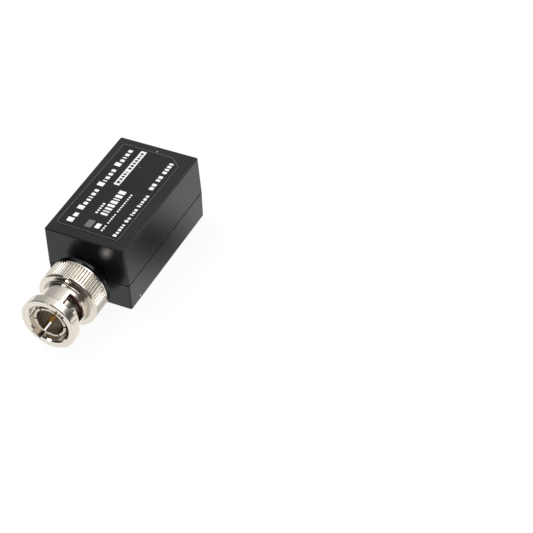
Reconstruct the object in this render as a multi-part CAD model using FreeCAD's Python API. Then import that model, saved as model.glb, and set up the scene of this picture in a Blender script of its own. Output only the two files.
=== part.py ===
import FreeCAD, Part
import math
import os

# Video balun: a two-part moulded housing with a BNC plug on its front and four push-in
# terminals in its back. Lengths are in millimetres. +Z is up, the plug points along -Y, and the
# origin is the middle of the housing's underside.

Vector = FreeCAD.Vector

# How far a cutter runs past what it cuts
cut_past = 1.0

# Housing
seam_width = 20.8
seam_length = 35.5
housing_height = 17.5
seam_height = 7.5
draft_angle = 1.0
wall = 1.5
roof = 1.5
floor = 1.5
corner_radius = 0.5
rim_radius = 0.3
seam_groove_height = 0.35
seam_groove_depth = 0.22
tongue_height = 1.0
tongue_thickness = 0.6
tongue_clearance = 0.1

# Screws, and the posts and bosses that they join
screw_side_inset = 3.4
front_screw_inset = 6.2
rear_screw_clearance = 3.0
screw_shank_radius = 0.88
screw_length = 9.4
screw_head_radius = 1.8
screw_head_height = 1.1
screw_cross_width = 0.5
screw_cross_depth = 0.6
head_recess_radius = 2.0
head_recess_depth = 1.25
post_radius = 2.2
boss_radius = 2.0
shank_hole_radius = 1.15
pilot_clearance = 0.03
pilot_spare = 1.0

# Circuit board
board_thickness = 1.6
board_below_axis = 0.5
board_side_gap = 0.4
board_end_gap = 0.6
board_front_gap = 0.15
board_post_gap = 0.25
rib_length = 3.0
rib_depth = 1.1
front_rib_behind_screw = 5.95
rear_rib_before_back = 5.9
rib_clearance = 0.05

# Label
label_width = 15.9
label_length = 30.2
label_thickness = 0.12
label_x = -0.55
label_y = 0.2
label_turn = -1.1
label_corner_radius = 0.7
label_chamfer_width = 3.0
label_chamfer_length = 2.4

# Insulating bushing, as distances in front of the housing's face
bushing_neck_radius = 4.7
bushing_bore_radius = 3.6
bushing_collar_radius = 5.1
bushing_collar_thickness = 0.45
bushing_flange_radius = 6.0
bushing_flange_thickness = 1.2
bushing_disc_radius = 7.2
bushing_disc_start = 2.9
bushing_disc_end = 3.95
bushing_disc_bevel = 0.2
seat_clearance = 0.05

# Plug body
hub_radius = 4.25
body_flange_radius = 5.85
body_flange_start = 7.4
body_flange_end = 8.6
body_land_radius = 4.88
body_land_end = 9.85
tail_bore_radius = 2.45
contact_seat_start = 8.0
contact_seat_radius = 3.8
nut_across_flats = 9.5
nut_thickness = 1.6
nut_clearance = 0.05
tail_beyond_nut = 0.5
upper_prong_x = 2.5
lower_prong_x = 1.3
prong_width = 0.9
prong_height = 0.9
prong_length = 3.0

# Outer contact, insulator, pin and gasket
outer_contact_radius = 4.05
outer_contact_bore = 3.35
outer_contact_tip = 16.86
outer_contact_bevel = 0.12
contact_lip_radius = 4.25
contact_lip_start = 11.3
contact_lip_width = 0.2
contact_groove_depth = 0.12
contact_slit_count = 6
contact_slit_width = 0.38
contact_slit_length = 4.6
insulator_front = 11.2
insulator_clearance = 0.04
pin_radius = 0.675
pin_waist_radius = 0.5
pin_shoulder_gap = 0.05
pin_tip = 16.6
pin_cone_length = 0.9
pin_tip_radius = 0.2
pin_tail_radius = 0.45
pin_tail_length = 3.2
pin_clearance = 0.03
gasket_outer_radius = 4.8
gasket_clearance = 0.04

# Coupling sleeve, its ring, washer and spring
sleeve_start = 4.15
flute_radius = 7.25
flute_count = 64
flute_depth = 0.24
flute_mouth = 0.46
flutes_start = 4.75
flutes_end = 8.85
sleeve_face = 9.42
sleeve_face_rounding = 0.55
sleeve_back_bevel = 0.2
neck_radius = 5.45
neck_fillet = 0.48
sleeve_bore_radius = 4.95
chamber_radius = 6.1
chamber_stop_clearance = 0.05
flange_start = 15.3
flange_end = 17.55
flange_radius = 6.72
flange_rounding = 0.25
mouth_radius = 5.25
mouth_chamfer = 0.35
entry_angle = 50.0
entry_width = 2.3
entry_radius = 5.8
slot_back = 11.2
ramp_start = 13.9
ramp_crest = 13.35
detent_depth = 0.3
stud_turn = 48.0
crest_before_detent = 20.0
slot_section_step = 4.0
ring_back_inset = 0.2
ring_thickness = 0.6
ring_clearance = 0.02
washer_thickness = 0.35
washer_gap = 0.05
washer_bore_clearance = 0.1
washer_rim_clearance = 0.1
ring_bore_clearance = 0.2
spring_strip = 0.3
spring_waves = 3
spring_inner_clearance = 0.35
spring_rim_clearance = 0.2
spring_gap = 0.05

# Terminal block and its four ways
way_count = 4
block_side_gap = 0.3
block_end_wall = 0.5
block_top_gap = 0.6
block_depth = 11.1
block_back_inset = 0.25
block_rear_wall = 1.6
block_front_wall = 1.2
block_window_clearance = 0.1
pocket_web = 0.8
wire_hole_radius = 1.1
wire_funnel_radius = 1.45
wire_funnel_depth = 0.45
button_side_play = 0.25
button_proud = 1.3
button_travel = 1.1
button_shoulder = 0.2
button_shoulder_length = 1.6
button_nose_length = 2.7
button_clearance = 0.06
button_rounding = 0.25
bar_height = 0.8
bar_length = 6.0
bar_rise = 0.2
bar_rear_gap = 0.5
tail_size = 0.8
tail_below_board = 1.1
tail_hole_radius = 0.7
clamp_side_play = 0.25
clamp_strip = 0.3
clamp_bend = 0.6
clamp_front_gap = 0.3
clamp_top_run = 1.7
clamp_tip_run = 4.4

# Heights inside the terminal block, as shares of its height
wire_hole_share = 0.3
button_share = 0.3
button_level_share = 0.685
pocket_share = 0.87
clamp_heel_share = 0.7
clamp_tip_share = 0.25

# Parts on the board. Places and lengths are shares of the run from the pin's tail to the block
chip_share = 0.31
chip_place_share = 0.24
chip_width = 3.9
chip_height = 1.5
chip_lead_count = 4
chip_lead_share = 0.26
chip_lead_width = 0.42
chip_lead_reach = 1.0
chip_lead_thickness = 0.2
choke_length = 4.5
choke_share = 0.2
choke_place_share = 0.545
choke_height = 2.8
can_base = 3.3
can_base_height = 0.6
can_radius = 1.5
can_height = 5.3
can_side_gap = 0.3
can_place_share = 0.3
suppressor_share = 0.245
suppressor_place_share = 0.825
suppressor_height = 2.2
suppressor_gap = 0.5
suppressor_side_gap = 0.3
suppressor_count = 3
regulator_length = 4.5
regulator_width = 2.5
regulator_height = 1.5
regulator_lead_pitch = 1.5
regulator_lead_width = 0.5
regulator_lead_length = 1.2
regulator_place_share = 0.3
chip_part_length = 1.6
chip_part_width = 0.8
resistor_height = 0.45
capacitor_height = 0.8
chip_part_cap = 0.3
chip_part_spread_share = 0.28
chip_parts_in_row = 4
resistor_place_share = 0.62
capacitor_place_share = 0.8

# Places that follow from the sizes above
axis_height = seam_height
lean = math.tan(math.radians(draft_angle))
front_face = -seam_length / 2
cavity_half_width = seam_width / 2 - wall
cavity_half_length = seam_length / 2 - wall
board_half_width = cavity_half_width - board_side_gap
board_top = axis_height - board_below_axis
board_bottom = board_top - board_thickness
block_back = seam_length / 2 - block_back_inset
block_front = block_back - block_depth
block_half_width = cavity_half_width - rib_depth - block_side_gap
block_height = housing_height - roof - block_top_gap - board_top
block_top = board_top + block_height
pocket_back = block_back - block_rear_wall
pocket_front = block_front + block_front_wall
way_pitch = 2 * (block_half_width - block_end_wall) / way_count
way_places = [(index - (way_count - 1) / 2) * way_pitch for index in range(way_count)]
pocket_width = way_pitch - pocket_web
button_width = pocket_width - 2 * button_side_play
button_height = block_height * button_share
button_centre = board_top + block_height * button_level_share
wire_hole_centre = board_top + block_height * wire_hole_share
clamp_width = pocket_width - 2 * clamp_side_play
clamp_rear = pocket_back - bar_rear_gap
pin_tail_y = clamp_rear - bar_length / 2
screw_x = seam_width / 2 - screw_side_inset
front_screw_y = front_face + front_screw_inset
rear_screw_y = block_front - rear_screw_clearance
screw_places = [(side * screw_x, y) for side in (-1, 1) for y in (front_screw_y, rear_screw_y)]
rib_places = (front_screw_y + front_rib_behind_screw, block_back - rear_rib_before_back)
bushing_flange_front = -(wall + bushing_flange_radius * lean + seat_clearance)
bushing_flange_back = bushing_flange_front - bushing_flange_thickness
nut_front = bushing_flange_back - nut_clearance
body_back = nut_front - nut_thickness - tail_beyond_nut
tail_radius = bushing_bore_radius - nut_clearance
board_front = front_face - body_back + board_front_gap
board_back = cavity_half_length - board_end_gap
ring_start = sleeve_start + ring_back_inset
washer_start = ring_start + ring_thickness + washer_gap
spring_start = washer_start + washer_thickness + spring_gap
spring_end = body_flange_start - spring_gap
chamber_end = body_flange_end + chamber_stop_clearance
run_start = front_face - body_back + pin_tail_length
board_run = block_front - run_start
chip_length = board_run * chip_share
choke_width = board_run * choke_share
suppressor_length = board_run * suppressor_share
suppressor_room = 2 * (screw_x - post_radius - board_post_gap - suppressor_side_gap)
suppressor_width = (suppressor_room - (suppressor_count - 1) * suppressor_gap) / suppressor_count
can_x = cavity_half_width - rib_depth - can_side_gap - can_base / 2


# Helpers for shapes

def slab(x0, x1, y0, y1, z0, z1):
    """A box between two opposite corners."""
    return Part.makeBox(x1 - x0, y1 - y0, z1 - z0, Vector(x0, y0, z0))


def block_at(x, y, width, length, z0, z1):
    """A box centred on x and y, between two heights."""
    return Part.makeBox(width, length, z1 - z0, Vector(x - width / 2, y - length / 2, z0))


def upright(radius, x, y, z0, z1):
    """A cylinder that stands between two heights."""
    return Part.makeCylinder(radius, z1 - z0, Vector(x, y, z0))


def drafted_block(half_width, half_length, wide_height, narrow_height):
    """A block of the given size at one height, with sides that lean in towards the other."""
    shrink = abs(narrow_height - wide_height) * lean
    wires = []
    for height, less in ((wide_height, 0.0), (narrow_height, shrink)):
        x = half_width - less
        y = half_length - less
        corners = [Vector(-x, -y, height), Vector(x, -y, height), Vector(x, y, height), Vector(-x, y, height)]
        wires.append(Part.makePolygon(corners + corners[:1]))
    return Part.makeLoft(wires, True, True)


def rounded_outline(corners, place):
    """A closed wire through corners (u, v, rounding radius), set in space by place(u, v)."""
    turns = []
    for index, (u, v, radius) in enumerate(corners):
        here = Vector(u, v, 0)
        before = Vector(corners[index - 1][0], corners[index - 1][1], 0)
        after_index = (index + 1) % len(corners)
        after = Vector(corners[after_index][0], corners[after_index][1], 0)
        if radius == 0:
            turns.append((here, None, here))
            continue
        back = (before - here).normalize()
        ahead = (after - here).normalize()
        half = back.getAngle(ahead) / 2
        reach = radius / math.tan(half)
        middle = here + (back + ahead).normalize() * (radius / math.sin(half) - radius)
        turns.append((here + back * reach, middle, here + ahead * reach))
    edges = []
    for index, (start, middle, end) in enumerate(turns):
        if middle is not None:
            arc = Part.Arc(place(start.x, start.y), place(middle.x, middle.y), place(end.x, end.y))
            edges.append(arc.toShape())
        following = turns[(index + 1) % len(turns)][0]
        if (following - end).Length > 1e-6:
            edges.append(Part.LineSegment(place(end.x, end.y), place(following.x, following.y)).toShape())
    return Part.Wire(edges)


def on_axis(distance, radius):
    """A point above the plug's axis, at a distance in front of the housing's face."""
    return Vector(0, front_face - distance, axis_height + radius)


def turned(corners):
    """A solid turned about the plug's axis from corners (distance, radius, rounding)."""
    face = Part.Face(rounded_outline(corners, on_axis))
    return face.revolve(Vector(0, 0, axis_height), Vector(0, 1, 0), 360)


def round_bar(start, end, radius):
    """A plain cylinder about the plug's axis between two distances."""
    foot = Vector(0, front_face - start, axis_height)
    return Part.makeCylinder(radius, end - start, foot, Vector(0, -1, 0))


def about_axis(shape, angle):
    """A copy turned about the plug's axis, anticlockwise as seen from the plug's mouth."""
    copy = shape.copy()
    copy.rotate(Vector(0, 0, axis_height), Vector(0, 1, 0), -angle)
    return copy


def on_run(share):
    """Y at a share of the board's run between the pin's tail and the terminal block."""
    return run_start + board_run * share


def all_fused(shapes):
    """One shape from several that meet."""
    return shapes[0].multiFuse(shapes[1:]).removeSplitter()


def edges_at(shape, height):
    """The edges that lie flat at one height."""
    return [edge for edge in shape.Edges if all(abs(v.Z - height) < 1e-4 for v in edge.Vertexes)]


def leaning_edges(shape):
    """The four edges between the sides of a drafted block."""
    return [edge for edge in shape.Edges if abs(edge.Vertexes[0].Z - edge.Vertexes[-1].Z) > 1e-3]


# Housing

def outer_form(wide_height, narrow_height):
    """Half of the housing's outside, with rounded corners and a rounded rim."""
    block = drafted_block(seam_width / 2, seam_length / 2, wide_height, narrow_height)
    block = block.makeFillet(corner_radius, leaning_edges(block))
    return block.makeFillet(rim_radius, edges_at(block, narrow_height))


def front_hole():
    """The round way through the front wall for the bushing's neck."""
    return round_bar(-wall - tongue_thickness, wall, bushing_neck_radius + seat_clearance)


def rear_window():
    """The space that the terminal block fills in the rear wall."""
    gap = block_window_clearance
    return slab(-block_half_width - gap, block_half_width + gap, cavity_half_length - wall,
                seam_length / 2 + wall, board_top - gap, block_top + gap)


def ribs(low, high):
    """Four short ribs on the side walls, at the board's edges."""
    width = rib_depth + wall / 2
    middle = cavity_half_width - rib_depth + width / 2
    return [block_at(side * middle, y, width, rib_length, low, high)
            for side in (-1, 1) for y in rib_places]


def tongue_ring(outer_grow, inner_grow, height):
    """A low upright frame on the seam, grown outwards and inwards from the cavity's edge."""
    outer_x = cavity_half_width + outer_grow
    outer_y = cavity_half_length + outer_grow
    inner_x = cavity_half_width - inner_grow
    inner_y = cavity_half_length - inner_grow
    frame = slab(-outer_x, outer_x, -outer_y, outer_y, seam_height, seam_height + height)
    return frame.cut(slab(-inner_x, inner_x, -inner_y, inner_y, seam_height, seam_height + height))


def upper_cover():
    """The deep upper half, with screw bosses and ribs that hold the board down."""
    ceiling = housing_height - roof
    cover = outer_form(seam_height, housing_height)
    cover = cover.cut(drafted_block(cavity_half_width, cavity_half_length, seam_height, ceiling))
    inside = [upright(boss_radius, x, y, seam_height, housing_height - roof / 2) for x, y in screw_places]
    inside += ribs(board_top + rib_clearance, housing_height - roof / 2)
    cover = all_fused([cover] + inside)
    cover = cover.cut(slab(-seam_width, seam_width, -seam_length, seam_length, 0, seam_height))
    cover = cover.cut(tongue_ring(tongue_thickness + tongue_clearance, tongue_clearance,
                                  tongue_height + tongue_clearance))
    pilot_top = head_recess_depth + screw_length + pilot_spare
    pilots = [upright(screw_shank_radius + pilot_clearance, x, y, 0, pilot_top) for x, y in screw_places]
    return cover.cut(Part.makeCompound(pilots + [front_hole(), rear_window()]))


def lower_base():
    """The lower half, with a tongue round its rim, screw posts and ribs under the board."""
    base = outer_form(seam_height, 0)
    groove_low = seam_height - seam_groove_height
    band = slab(-seam_width, seam_width, -seam_length, seam_length, groove_low, seam_height)
    band = band.cut(slab(-seam_width / 2 + seam_groove_depth, seam_width / 2 - seam_groove_depth,
                         -seam_length / 2 + seam_groove_depth, seam_length / 2 - seam_groove_depth,
                         groove_low, seam_height))
    base = base.cut(band)
    base = base.cut(drafted_block(cavity_half_width, cavity_half_length, seam_height, floor))
    tongue = tongue_ring(tongue_thickness, 0, tongue_height)
    posts = [upright(post_radius, x, y, floor / 2, seam_height) for x, y in screw_places]
    posts = [post.common(drafted_block(seam_width / 2 - wall / 2, seam_length / 2 - wall / 2, seam_height, 0))
             for post in posts]
    base = all_fused([base, tongue] + posts + ribs(floor / 2, board_bottom))
    holes = []
    for x, y in screw_places:
        holes.append(upright(shank_hole_radius, x, y, 0, seam_height))
        holes.append(upright(head_recess_radius, x, y, 0, head_recess_depth))
    return base.cut(Part.makeCompound(holes + [front_hole(), rear_window()]))


def label_plate():
    """The thin label on the lid, with one bevelled corner, laid on slightly askew."""
    x = label_width / 2
    y = label_length / 2
    corners = [
        (-x, -y, label_corner_radius),
        (x, -y, 0),
        (x, y - label_chamfer_length, label_corner_radius),
        (x - label_chamfer_width, y, label_corner_radius),
        (-x, y, label_corner_radius),
    ]
    face = Part.Face(rounded_outline(corners, lambda u, v: Vector(u, v, housing_height)))
    label = face.extrude(Vector(0, 0, label_thickness))
    label.rotate(Vector(0, 0, 0), Vector(0, 0, 1), label_turn)
    label.translate(Vector(label_x, label_y, 0))
    return label


def base_screws():
    """Four pan-head screws that hold the two halves together from below."""
    screws = []
    for x, y in screw_places:
        head_low = head_recess_depth - screw_head_height
        head = upright(screw_head_radius, x, y, head_low, head_recess_depth)
        shank = upright(screw_shank_radius, x, y, head_recess_depth, head_recess_depth + screw_length)
        screw = head.fuse(shank).removeSplitter()
        arm = screw_head_radius * 1.2
        top = head_low + screw_cross_depth
        screw = screw.cut(block_at(x, y, arm, screw_cross_width, 0, top))
        screws.append(screw.cut(block_at(x, y, screw_cross_width, arm, 0, top)))
    return Part.makeCompound(screws)


# Plug

def insulating_bushing():
    """The black collar that carries the plug in the front wall and keeps it off the housing."""
    return turned([
        (bushing_flange_back, bushing_bore_radius, 0),
        (bushing_flange_back, bushing_flange_radius, 0),
        (bushing_flange_front, bushing_flange_radius, 0),
        (bushing_flange_front, bushing_neck_radius, 0),
        (seat_clearance, bushing_neck_radius, 0),
        (seat_clearance, bushing_collar_radius, 0),
        (seat_clearance + bushing_collar_thickness, bushing_collar_radius, 0),
        (seat_clearance + bushing_collar_thickness, bushing_neck_radius, 0),
        (bushing_disc_start, bushing_neck_radius, 0),
        (bushing_disc_start, bushing_disc_radius - bushing_disc_bevel, 0),
        (bushing_disc_start + bushing_disc_bevel, bushing_disc_radius, 0),
        (bushing_disc_end - bushing_disc_bevel, bushing_disc_radius, 0),
        (bushing_disc_end, bushing_disc_radius - bushing_disc_bevel, 0),
        (bushing_disc_end, bushing_bore_radius, 0),
    ])


def plug_nut():
    """The thin hexagon nut behind the bushing."""
    corner_distance = nut_across_flats / 2 / math.cos(math.radians(30))
    turns = [math.radians(60 * index + 30) for index in range(6)]
    points = [Vector(corner_distance * math.cos(turn), front_face - nut_front,
                     axis_height + corner_distance * math.sin(turn)) for turn in turns]
    hexagon = Part.Face(Part.makePolygon(points + points[:1]))
    nut = hexagon.extrude(Vector(0, nut_thickness, 0))
    return nut.cut(round_bar(nut_front - nut_thickness - cut_past, nut_front + cut_past, bushing_bore_radius))


def plug_body():
    """The turned body: tail, hub for the washer and spring, flange, land and solder prongs."""
    body = turned([
        (body_back, tail_bore_radius, 0),
        (body_back, tail_radius, 0),
        (bushing_disc_end + seat_clearance, tail_radius, 0),
        (bushing_disc_end + seat_clearance, hub_radius, 0),
        (body_flange_start, hub_radius, 0),
        (body_flange_start, body_flange_radius, 0),
        (body_flange_end, body_flange_radius, 0),
        (body_flange_end, body_land_radius, 0),
        (body_land_end, body_land_radius, 0),
        (body_land_end, contact_seat_radius, 0),
        (contact_seat_start, contact_seat_radius, 0),
        (contact_seat_start, tail_bore_radius, 0),
    ])
    back_y = front_face - body_back
    prongs = []
    for inner_x, low in ((upper_prong_x, board_top), (lower_prong_x, board_bottom - prong_height)):
        for x0 in (inner_x, -inner_x - prong_width):
            prongs.append(slab(x0, x0 + prong_width, back_y - tail_beyond_nut / 2, back_y + prong_length,
                               low, low + prong_height))
    bore = round_bar(body_back - cut_past, contact_seat_start, tail_bore_radius)
    return all_fused([body] + [prong.cut(bore) for prong in prongs])


def outer_contact():
    """The springy contact tube, slit from its mouth, with a lip that keeps the gasket on."""
    groove_start = contact_lip_start + contact_lip_width
    groove_end = groove_start + contact_lip_width
    seat = contact_seat_radius - insulator_clearance / 2
    tube = turned([
        (contact_seat_start + insulator_clearance, outer_contact_bore, 0),
        (contact_seat_start + insulator_clearance, seat, 0),
        (body_land_end + insulator_clearance, seat, 0),
        (body_land_end + insulator_clearance, outer_contact_radius, 0),
        (contact_lip_start, outer_contact_radius, 0),
        (contact_lip_start, contact_lip_radius, 0),
        (groove_start, contact_lip_radius, 0),
        (groove_start, outer_contact_radius - contact_groove_depth, 0),
        (groove_end, outer_contact_radius - contact_groove_depth, 0),
        (groove_end, outer_contact_radius, 0),
        (outer_contact_tip - outer_contact_bevel, outer_contact_radius, 0),
        (outer_contact_tip, outer_contact_radius - outer_contact_bevel, 0),
        (outer_contact_tip, outer_contact_bore + outer_contact_bevel, 0),
        (outer_contact_tip - outer_contact_bevel, outer_contact_bore, 0),
    ])
    slit_start = outer_contact_tip - contact_slit_length
    half = contact_slit_width / 2
    blade = slab(0, contact_lip_radius + cut_past, front_face - outer_contact_tip - cut_past,
                 front_face - slit_start, axis_height - half, axis_height + half)
    blades = [about_axis(blade, 360 * index / contact_slit_count) for index in range(contact_slit_count)]
    return tube.cut(Part.makeCompound(blades))


def insulator():
    """The moulded dielectric between the body and the pin."""
    rear_radius = tail_bore_radius - insulator_clearance
    front_radius = outer_contact_bore - insulator_clearance
    step = contact_seat_start + insulator_clearance
    bore = pin_waist_radius + pin_clearance
    return turned([(body_back, bore, 0), (body_back, rear_radius, 0), (step, rear_radius, 0),
                   (step, front_radius, 0), (insulator_front, front_radius, 0), (insulator_front, bore, 0)])


def centre_pin():
    """The gold pin, with a cone at its tip and a thin tail over the board."""
    return turned([
        (body_back - pin_tail_length, 0, 0),
        (body_back - pin_tail_length, pin_tail_radius, 0),
        (body_back, pin_tail_radius, 0),
        (body_back, pin_waist_radius, 0),
        (insulator_front + pin_shoulder_gap, pin_waist_radius, 0),
        (insulator_front + pin_shoulder_gap, pin_radius, 0),
        (pin_tip - pin_cone_length, pin_radius, 0),
        (pin_tip, pin_tip_radius, 0),
        (pin_tip, 0, 0),
    ])


def gasket():
    """The rubber ring that a socket's rim presses on."""
    start = body_land_end + gasket_clearance
    end = contact_lip_start - gasket_clearance
    inner = outer_contact_radius + gasket_clearance
    return flat_ring(start, end - start, inner, gasket_outer_radius)


def wave_spring():
    """A flat ring bent into waves, between the slip washer and the body's flange."""
    inner = hub_radius + spring_inner_clearance
    outer = chamber_radius - spring_rim_clearance
    middle = (spring_start + spring_end) / 2
    swing = (spring_end - spring_start - spring_strip) / 2
    count = spring_waves * 16

    def rim(radius, side):
        points = []
        for index in range(count):
            angle = 2 * math.pi * index / count
            distance = middle + swing * math.cos(spring_waves * angle) + side * spring_strip / 2
            points.append(Vector(radius * math.cos(angle), front_face - distance,
                                 axis_height + radius * math.sin(angle)))
        curve = Part.BSplineCurve()
        curve.interpolate(Points=points, PeriodicFlag=True)
        return curve.toShape()

    rims = [rim(inner, -1), rim(outer, -1), rim(outer, 1), rim(inner, 1)]
    faces = [Part.makeRuledSurface(rims[index], rims[(index + 1) % 4]) for index in range(4)]
    shell = Part.makeShell(faces)
    shell.sewShape()
    spring = Part.makeSolid(Part.makeShell(shell.Faces))
    if spring.Volume < 0:
        spring.reverse()
    return spring


def flat_ring(start, thickness, inner, outer):
    """A plain washer on the plug's axis."""
    end = start + thickness
    return turned([(start, inner, 0), (start, outer, 0), (end, outer, 0), (end, inner, 0)])


def slip_washer():
    """The washer that slides with the sleeve and doesn't turn with it."""
    return flat_ring(washer_start, washer_thickness, hub_radius + washer_bore_clearance,
                     chamber_radius - washer_rim_clearance)


def retaining_ring():
    """The ring pressed into the back of the sleeve."""
    return flat_ring(ring_start, ring_thickness, hub_radius + ring_bore_clearance,
                     chamber_radius - ring_clearance)


def ramp(angle):
    """Distance of the bayonet slot's front edge, at an angle before the entry's middle."""
    half_entry = math.degrees(math.asin(entry_width / 2 / neck_radius))
    crest = stud_turn - crest_before_detent
    if angle <= half_entry:
        return ramp_start
    if angle <= crest:
        return ramp_start + (ramp_crest - ramp_start) * (angle - half_entry) / (crest - half_entry)
    rise = min(1.0, (angle - crest) / (stud_turn - half_entry - crest))
    return ramp_crest + detent_depth * rise


def bayonet_slot():
    """The way of one stud: straight in through the mouth, then round behind a ramp to its rest."""
    half_entry = math.degrees(math.asin(entry_width / 2 / neck_radius))
    inner = (outer_contact_radius + sleeve_bore_radius) / 2
    outer = entry_radius + cut_past
    entry = slab(inner, entry_radius, front_face - flange_end - cut_past, front_face - slot_back,
                 axis_height - entry_width / 2, axis_height + entry_width / 2)
    sections = []
    last = stud_turn + half_entry
    steps = math.ceil((last + half_entry) / slot_section_step)
    for index in range(steps + 1):
        angle = -half_entry + (last + half_entry) * index / steps
        edge = ramp(angle)
        corners = [(inner, slot_back), (outer, slot_back), (outer, edge), (inner, edge), (inner, slot_back)]
        section = Part.makePolygon([Vector(x, front_face - distance, axis_height) for x, distance in corners])
        sections.append(about_axis(section, -angle))
    way = Part.makeLoft(sections, True, True)
    return about_axis(entry.fuse(way), entry_angle)


def coupling_sleeve():
    """The fluted sleeve with its shoulder, slotted neck and front flange."""
    body = turned([
        (sleeve_start, chamber_radius, 0),
        (sleeve_start, flute_radius - sleeve_back_bevel, 0),
        (sleeve_start + sleeve_back_bevel, flute_radius, 0),
        (sleeve_face, flute_radius, sleeve_face_rounding),
        (sleeve_face, neck_radius, neck_fillet),
        (flange_start, neck_radius, 0),
        (flange_start, flange_radius, flange_rounding),
        (flange_end, flange_radius, flange_rounding),
        (flange_end, mouth_radius, 0),
        (flange_end - mouth_chamfer, sleeve_bore_radius, 0),
        (chamber_end, sleeve_bore_radius, 0),
        (chamber_end, chamber_radius, 0),
    ])
    half = flute_mouth / 2
    rim = flute_radius + flute_depth / 8
    corners = [(-half, rim), (half, rim), (0, flute_radius - flute_depth), (-half, rim)]
    notch = Part.makePolygon([Vector(x, front_face - flutes_start, axis_height + z) for x, z in corners])
    groove = Part.Face(notch).extrude(Vector(0, flutes_start - flutes_end, 0))
    grooves = [about_axis(groove, 360 * index / flute_count) for index in range(flute_count)]
    slots = [about_axis(bayonet_slot(), turn) for turn in (0, 180)]
    return body.cut(Part.makeCompound(grooves)).cut(slots[0]).cut(slots[1])


# Circuit board and terminals

def circuit_board():
    """The board, notched round the screw posts and drilled for the terminal pins."""
    board = slab(-board_half_width, board_half_width, board_front, board_back, board_bottom, board_top)
    notches = [upright(post_radius + board_post_gap, x, y, board_bottom, board_top) for x, y in screw_places]
    holes = [upright(tail_hole_radius, x, pin_tail_y, board_bottom, board_top) for x in way_places]
    return board.cut(Part.makeCompound(notches + holes))


def terminal_block():
    """The four-way block: pockets open below, wire holes low and button slots high in its rear."""
    block = slab(-block_half_width, block_half_width, block_front, block_back, board_top, block_top)
    block = block.makeFillet(button_rounding, edges_at(block, block_top))
    cutters = []
    for x in way_places:
        cutters.append(block_at(x, (pocket_front + pocket_back) / 2, pocket_width, pocket_back - pocket_front,
                                board_top, board_top + block_height * pocket_share))
        hole_start = Vector(x, pocket_back - cut_past, wire_hole_centre)
        cutters.append(Part.makeCylinder(wire_hole_radius, block_rear_wall + cut_past,
                                         hole_start, Vector(0, 1, 0)))
        funnel_start = Vector(x, block_back - wire_funnel_depth, wire_hole_centre)
        cutters.append(Part.makeCone(wire_hole_radius, wire_funnel_radius, wire_funnel_depth,
                                     funnel_start, Vector(0, 1, 0)))
        tall = button_height / 2 + button_clearance
        cutters.append(block_at(x, block_back - block_rear_wall / 2, button_width + 2 * button_clearance,
                                block_rear_wall + 2 * cut_past, button_centre - tall, button_centre + tall))
    for cutter in cutters:
        block = block.cut(cutter)
    return block


def terminal_button(x):
    """A push button with a shoulder that keeps it in the block and a nose for the clamp."""
    tall = button_height / 2
    back = block_back + button_proud
    shoulder_back = pocket_back - rib_clearance
    shoulder_front = shoulder_back - button_shoulder_length
    stem = block_at(x, (shoulder_front + back) / 2, button_width, back - shoulder_front,
                    button_centre - tall, button_centre + tall)
    rear_edges = [edge for edge in stem.Edges if all(abs(v.Y - back) < 1e-6 for v in edge.Vertexes)]
    stem = stem.makeFillet(button_rounding, rear_edges)
    high = tall + button_shoulder
    shoulder = block_at(x, (shoulder_front + shoulder_back) / 2, button_width + 2 * button_shoulder,
                        button_shoulder_length, button_centre - high, button_centre + high)
    nose = block_at(x, shoulder_front - button_nose_length / 2 + button_shoulder / 2, button_width,
                    button_nose_length + button_shoulder, button_centre - tall / 2, button_centre + tall)
    return all_fused([stem, shoulder, nose])


def clamp_spring(x):
    """A folded leaf: foot on the contact bar, heel at the front, arm down to the wire's way."""
    foot = board_top + bar_rise + bar_height + rib_clearance + clamp_strip / 2
    heel = pocket_front + clamp_front_gap
    top = board_top + block_height * clamp_heel_share
    tip = board_top + block_height * clamp_tip_share
    path = [(clamp_rear, foot), (heel, foot), (heel, top), (heel + clamp_top_run, top),
            (heel + clamp_tip_run, tip)]
    left = []
    right = []
    for index, (y, z) in enumerate(path):
        here = Vector(0, y, z)
        before = Vector(0, *path[max(index - 1, 0)])
        after = Vector(0, *path[min(index + 1, len(path) - 1)])
        come = (here - before) if index > 0 else (after - here)
        leave = (after - here) if index < len(path) - 1 else (here - before)
        come.normalize()
        leave.normalize()
        side = Vector(0, -come.z, come.y) + Vector(0, -leave.z, leave.y)
        side.normalize()
        width = clamp_strip / 2 / side.dot(Vector(0, -come.z, come.y))
        ends = index in (0, len(path) - 1)
        left.append((here + side * width, 0 if ends else clamp_bend))
        right.append((here - side * width, 0 if ends else clamp_bend))
    corners = []
    for index, (point, radius) in enumerate(left):
        corners.append((point.y, point.z, bend_radius(path, index, radius, 1)))
    for index in reversed(range(len(path))):
        point, radius = right[index]
        corners.append((point.y, point.z, bend_radius(path, index, radius, -1)))
    outline = rounded_outline(corners, lambda y, z: Vector(x - clamp_width / 2, y, z))
    return Part.Face(outline).extrude(Vector(clamp_width, 0, 0))


def bend_radius(path, index, radius, side):
    """Radius at a bend of the leaf: smaller on the side that it bends towards."""
    if radius == 0:
        return 0
    (y0, z0), (y1, z1), (y2, z2) = path[index - 1:index + 2]
    turning = (y1 - y0) * (z2 - z1) - (z1 - z0) * (y2 - y1)
    inward = 1 if turning * side > 0 else -1
    return radius - inward * clamp_strip / 2


def terminal_pin(x):
    """The contact bar under a clamp spring, with a tail through the board."""
    low = board_top + bar_rise
    bar = block_at(x, clamp_rear - bar_length / 2, clamp_width, bar_length, low, low + bar_height)
    tail = block_at(x, pin_tail_y, tail_size, tail_size,
                    board_bottom - tail_below_board, low + bar_height / 2)
    return all_fused([bar, tail])


# Parts on the board

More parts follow.
